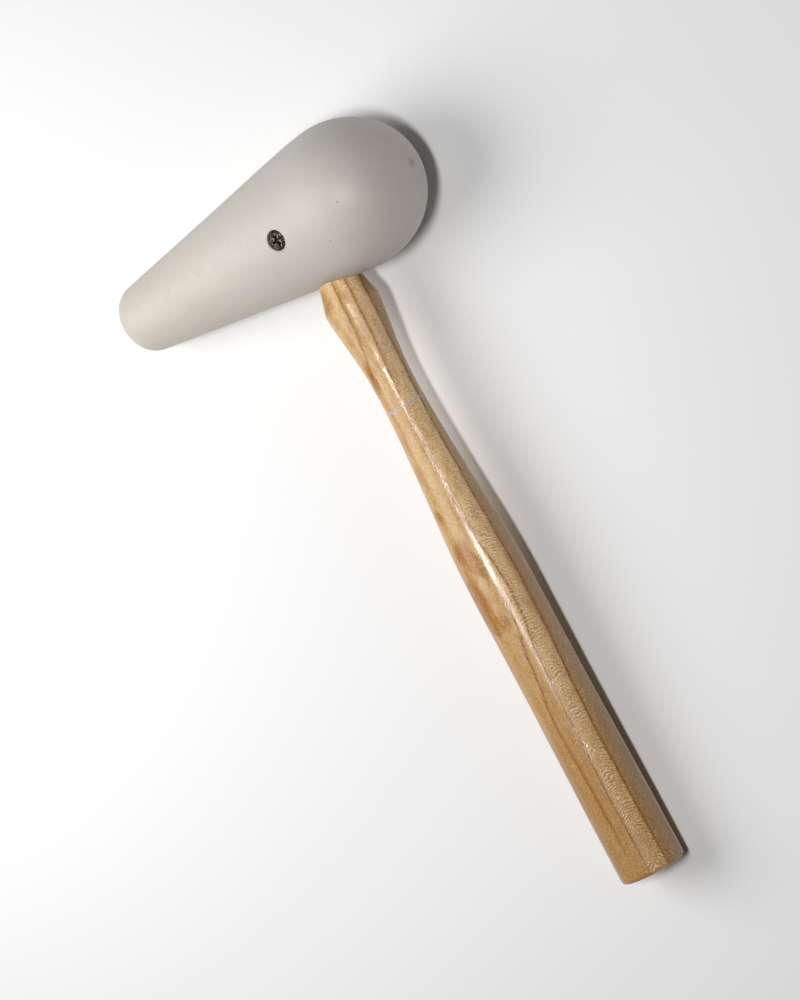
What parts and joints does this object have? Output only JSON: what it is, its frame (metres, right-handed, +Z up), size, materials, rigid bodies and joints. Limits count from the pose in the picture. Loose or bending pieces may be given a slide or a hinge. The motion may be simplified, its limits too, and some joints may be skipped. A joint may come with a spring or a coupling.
{
  "type": "teardrop bossing mallet",
  "caption": "Bossing mallet: a solid teardrop-shaped white plastic head on a turned ash handle with a waist, held by one cross-recess screw in the head's side.",
  "frame": {"origin": "on the bench that the mallet lies on, under the middle of its box", "axes": "+Z up from the bench, +Y along the handle's run over the bench towards the head, +X towards the head's big end"},
  "size_m": [0.1758, 0.3736, 0.0706],
  "materials": {
    "head_plastic": "warm white turned polyethylene or nylon, slightly translucent, fine lathe marks",
    "ash_wood": "pale honey ash, long brown growth lines, clear gloss lacquer",
    "screw_steel": "dark brown-black oxide with bright worn edges in the cross",
    "band_film": "thin clear film, whitish where it catches the light"
  },
  "bodies": {
    "root": {"head": "head_plastic", "handle": "ash_wood", "retaining_screw": "screw_steel", "clear_band": "band_film"}
  },
  "joints": []
}
